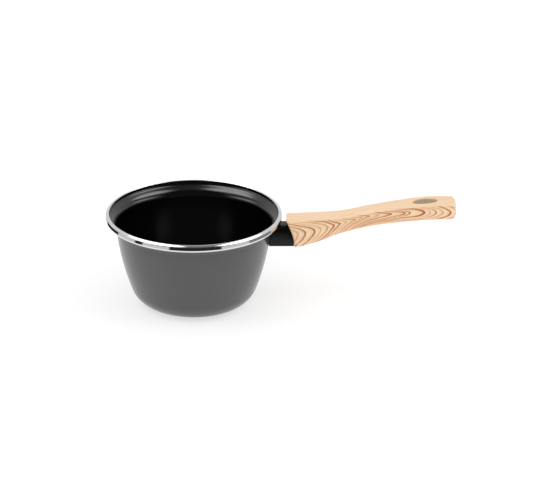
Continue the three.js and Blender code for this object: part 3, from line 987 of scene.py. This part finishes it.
def make_grip(wood, core_and_shade):
    """The handle with its hanging hole, screw recess and socket, and the grain stored on its points."""
    points, faces, finishes = grip_body()
    piece = make_piece("wood_grip", points, faces, "wood_effect", [wood, core_and_shade], finishes)
    well = [(0, 0), (RECESS_RADIUS, 0), (RECESS_RADIUS, SEAT_Z)]
    bore = [(SCREW_BORE, SEAT_Z), (SCREW_BORE, TANG_TOP), (0, TANG_TOP)]
    # The cuts leave the bare core's darker tone, partly painted shade, on their walls
    recess = cutter(turned_about_screw(well + bore), finish=1)
    socket = cutter(tang_room(TANG_END + CLEARANCE), finish=1)
    cut(piece, [hole_cutter(), recess, socket], CUT_CREASE)
    grain = [grain_at(v.co.x / MM, v.co.z / MM) for v in piece.data.vertices]
    for name, values in zip(("ring", "ink", "pitch"), zip(*grain)):
        piece.data.attributes.new(name, "FLOAT", "POINT").data.foreach_set("value", values)
    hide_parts("handle_grip")


def make_screw(zinc):
    """The screw, head down, with a cross drive."""
    underside = HEAD_TOP - HEAD_HEIGHT
    tip = HEAD_TOP + SCREW_LENGTH
    outline = [(0, underside)]
    outline += [(HEAD_RADIUS - inward, underside + rise) for inward, rise in fillet(HEAD_DOME, DOME_STEPS)]
    outline += [(HEAD_RADIUS, HEAD_TOP), (SHANK_RADIUS, HEAD_TOP), (SHANK_RADIUS, tip - TIP_CHAMFER)]
    outline += [(SHANK_RADIUS - TIP_CHAMFER, tip), (0, tip)]
    points, faces = turned_about_screw(outline)
    piece = make_piece("handle_bolt", points, faces, "plated_steel", [zinc])
    length, width = DRIVE_LENGTH / 2, DRIVE_WIDTH / 2
    bottom, top = underside - DRIVE_DEPTH, underside + DRIVE_DEPTH
    slots = [
        block((SCREW_X - along, -across, bottom), (SCREW_X + along, across, top))
        for along, across in ((length, width), (width, length))
    ]
    cut(piece, [cutter(slot) for slot in slots], CUT_CREASE)
    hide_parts("handle_screw")


def make_world():
    """White to the camera and an even soft light; reflections see bright panels in a darker studio."""
    world = bpy.data.worlds.new("studio")
    bpy.context.scene.world = world
    world.use_nodes = True
    nodes = Nodes(world.node_tree)
    path = nodes.add("ShaderNodeLightPath").outputs
    across, ahead, height = nodes.split(nodes.add("ShaderNodeTexCoord").outputs["Generated"])
    bearing = nodes.math("ABSOLUTE", studio_bearing(nodes, across, ahead))

    ahead_of_back = nodes.stepped(bearing, *FRONT_TO_SIDE, FRONT_LEVEL, SIDE_LEVEL)
    walls = nodes.stepped(bearing, *SIDE_TO_BACK, ahead_of_back, BACK_LEVEL)
    aside = nodes.math("ABSOLUTE", nodes.math("SUBTRACT", bearing, LOW_PANEL_BEARING))
    above = nodes.math("ABSOLUTE", nodes.math("SUBTRACT", height, LOW_PANEL_HEIGHT))
    beside = nodes.stepped(aside, *LOW_PANEL_ACROSS, 1, 0)
    low_panel = nodes.math("MULTIPLY", beside, nodes.stepped(above, *LOW_PANEL_UP, 1, 0))
    hung = nodes.between(low_panel, walls, LOW_PANEL_LEVEL)
    room = nodes.between(nodes.stepped(height, *WALL_TO_GAP), hung, GAP_LEVEL)

    rise = nodes.math("MAXIMUM", height, LEAST)
    sideways = nodes.math("SUBTRACT", nodes.math("DIVIDE", across, rise), PANEL_MIDWAY)
    out = nodes.math("SUBTRACT", nodes.math("ABSOLUTE", sideways), PANEL_OUT)
    along = nodes.math("SUBTRACT", nodes.math("DIVIDE", ahead, rise), PANEL_BACK)
    lean = {"Vector": nodes.joined(out, along), "Angle": PANEL_LEAN}
    leant = nodes.add("ShaderNodeVectorRotate", lean, rotation_type="Z_AXIS").outputs[0]
    share = nodes.scaled(leant, (1 / PANEL_HALF_WIDTH, 1 / PANEL_HALF_LENGTH, 1))
    panel = nodes.stepped(nodes.length(share), *PANEL_EDGE, 1, 0)
    mirrored = nodes.between(panel, room, PANEL_LEVEL)

    shiny = nodes.math("MAXIMUM", path["Is Glossy Ray"], path["Is Transmission Ray"])
    level = nodes.between(path["Is Camera Ray"], nodes.between(shiny, SKY_LEVEL, mirrored), 1.0)
    light = nodes.add("ShaderNodeBackground", {"Color": (1, 1, 1, 1), "Strength": level})
    nodes.add("ShaderNodeOutputWorld", {"Surface": light.outputs[0]})


def make_lamp(name, bearing):
    """A square lamp aimed at the pan from a bearing to the right of the front."""
    data = bpy.data.lights.new(name, "AREA")
    data.size = LAMP_SIZE
    data.energy = LAMP_POWER
    lamp = bpy.data.objects.new(name, data)
    level = math.cos(LAMP_ELEVATION)
    away = Vector((level * math.sin(bearing), -level * math.cos(bearing), math.sin(LAMP_ELEVATION)))
    lamp.location = Vector(LAMP_AIM) + away * LAMP_DISTANCE
    lamp.rotation_euler = away.to_track_quat("Z", "Y").to_euler()
    lamp.visible_glossy = False
    bpy.context.scene.collection.objects.link(lamp)


def make_floor():
    (left, front), (right, back) = FLOOR_LOW, FLOOR_HIGH
    points = [(left, front, 0), (right, front, 0), (right, back, 0), (left, back, 0)]
    floor = make_piece("floor", points, [(0, 1, 2, 3)], None, [floor_material()])


def make_camera():
    data = bpy.data.cameras.new("view")
    data.sensor_width = SENSOR_MM
    data.lens = FOCAL_PIXELS / IMAGE_WIDTH * SENSOR_MM
    camera = bpy.data.objects.new("view", data)
    up = Vector((0, math.sin(VIEW_ELEVATION), math.cos(VIEW_ELEVATION)))
    forward = Vector((0, math.cos(VIEW_ELEVATION), -math.sin(VIEW_ELEVATION)))
    camera.location = Vector((VIEW_RIGHT, 0, 0)) + up * VIEW_UP - forward * VIEW_DISTANCE
    camera.rotation_euler = (QUARTER_TURN - VIEW_ELEVATION, 0, 0)
    bpy.context.scene.collection.objects.link(camera)
    bpy.context.scene.camera = camera


def dress(node, material):
    """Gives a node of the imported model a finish."""
    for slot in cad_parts[node].material_slots:
        slot.material = material


enamel_finish = enamel_material()
zinc_finish = zinc_material()
make_pan(enamel_finish, nonstick_material())
make_band(polished_material())
make_guard(guard_material())
make_grip(wood_material(), core_and_shade_material())
make_screw(zinc_finish)
dress("handle_bracket", enamel_finish)
for hidden in ("tang_nut", "flat_washer", "spring_washer"):
    dress(hidden, zinc_finish)

make_world()
make_lamp("lamp_left", -LAMP_BEARING)
make_lamp("lamp_right", LAMP_BEARING)
make_floor()
make_camera()
bpy.context.scene.view_settings.view_transform = "Standard"
